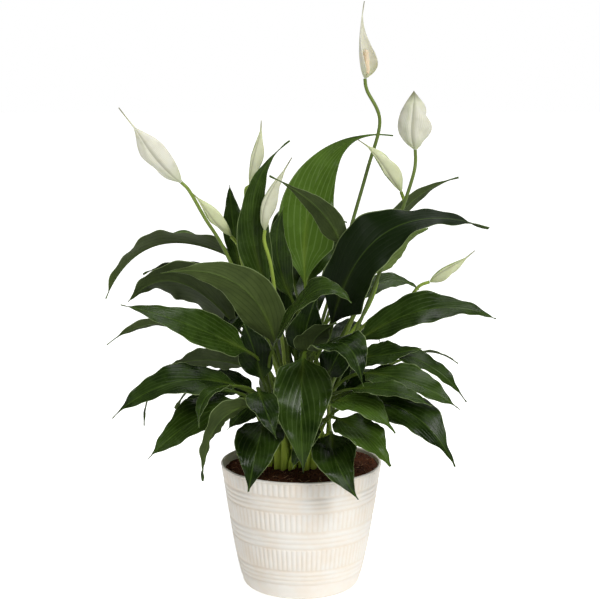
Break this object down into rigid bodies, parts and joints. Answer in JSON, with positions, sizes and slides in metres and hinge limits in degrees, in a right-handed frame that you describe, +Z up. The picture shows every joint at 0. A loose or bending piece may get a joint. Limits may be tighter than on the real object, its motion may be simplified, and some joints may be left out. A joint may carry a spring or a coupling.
{
  "type": "potted peace lily",
  "caption": "Potted peace lily: a tapered round pot with bands of rings and flutes, filled with soil, with arching pointed leaves and white hooded blooms on tall stems.",
  "frame": {"origin": "centre of the pot's flat underside, on the surface that it stands on", "axes": "+Z up, -Y toward the side that the picture shows, +X to its right"},
  "size_m": [0.4012, 0.3269, 0.5911],
  "materials": {
    "pot": "matte cream plastic with a faint warm wash in the grooves",
    "soil": "coarse moist peat, with specks of bark",
    "stem": "smooth satin stalk",
    "bloom": "soft satin spathe with fine veins",
    "spadix": "bumpy matte spike of florets",
    "leaf": "glossy leaf with sunken side veins and a pale midrib"
  },
  "bodies": {
    "root": {"pot": "pot", "soil": "soil", "stem_1": "stem", "stem_2": "stem", "stem_3": "stem", "stem_4": "stem", "stem_5": "stem", "stem_6": "stem", "stem_7": "stem", "stem_8": "stem", "bloom_1": "bloom", "bloom_2": "bloom", "bloom_3": "bloom", "bloom_4": "bloom", "bloom_5": "bloom", "bloom_6": "bloom", "bloom_7": "bloom", "bloom_8": "bloom", "spadix_5": "spadix", "leaf_back_1": "leaf", "leaf_back_2": "leaf", "leaf_back_3": "leaf", "leaf_back_4": "leaf", "leaf_back_5": "leaf", "leaf_front_1": "leaf", "leaf_left_1": "leaf", "leaf_left_11": "leaf", "leaf_left_12": "leaf", "leaf_left_13": "leaf", "leaf_left_14": "leaf", "leaf_left_15": "leaf", "leaf_left_2": "leaf", "leaf_left_3": "leaf", "leaf_left_4": "leaf", "leaf_left_5": "leaf", "leaf_left_6": "leaf", "leaf_left_7": "leaf", "leaf_left_8": "leaf", "leaf_left_9": "leaf", "leaf_right_1": "leaf", "leaf_right_10": "leaf", "leaf_right_11": "leaf", "leaf_right_12": "leaf", "leaf_right_13": "leaf", "leaf_right_14": "leaf", "leaf_right_15": "leaf", "leaf_right_2": "leaf", "leaf_right_3": "leaf", "leaf_right_4": "leaf", "leaf_right_5": "leaf", "leaf_right_6": "leaf", "leaf_right_7": "leaf", "leaf_right_8": "leaf", "leaf_right_9": "leaf", "leaf_top_1": "leaf", "leaf_top_2": "leaf", "leaf_top_3": "leaf", "leaf_top_4": "leaf", "leaf_top_5": "leaf", "leaf_top_6": "leaf"}
  },
  "joints": []
}
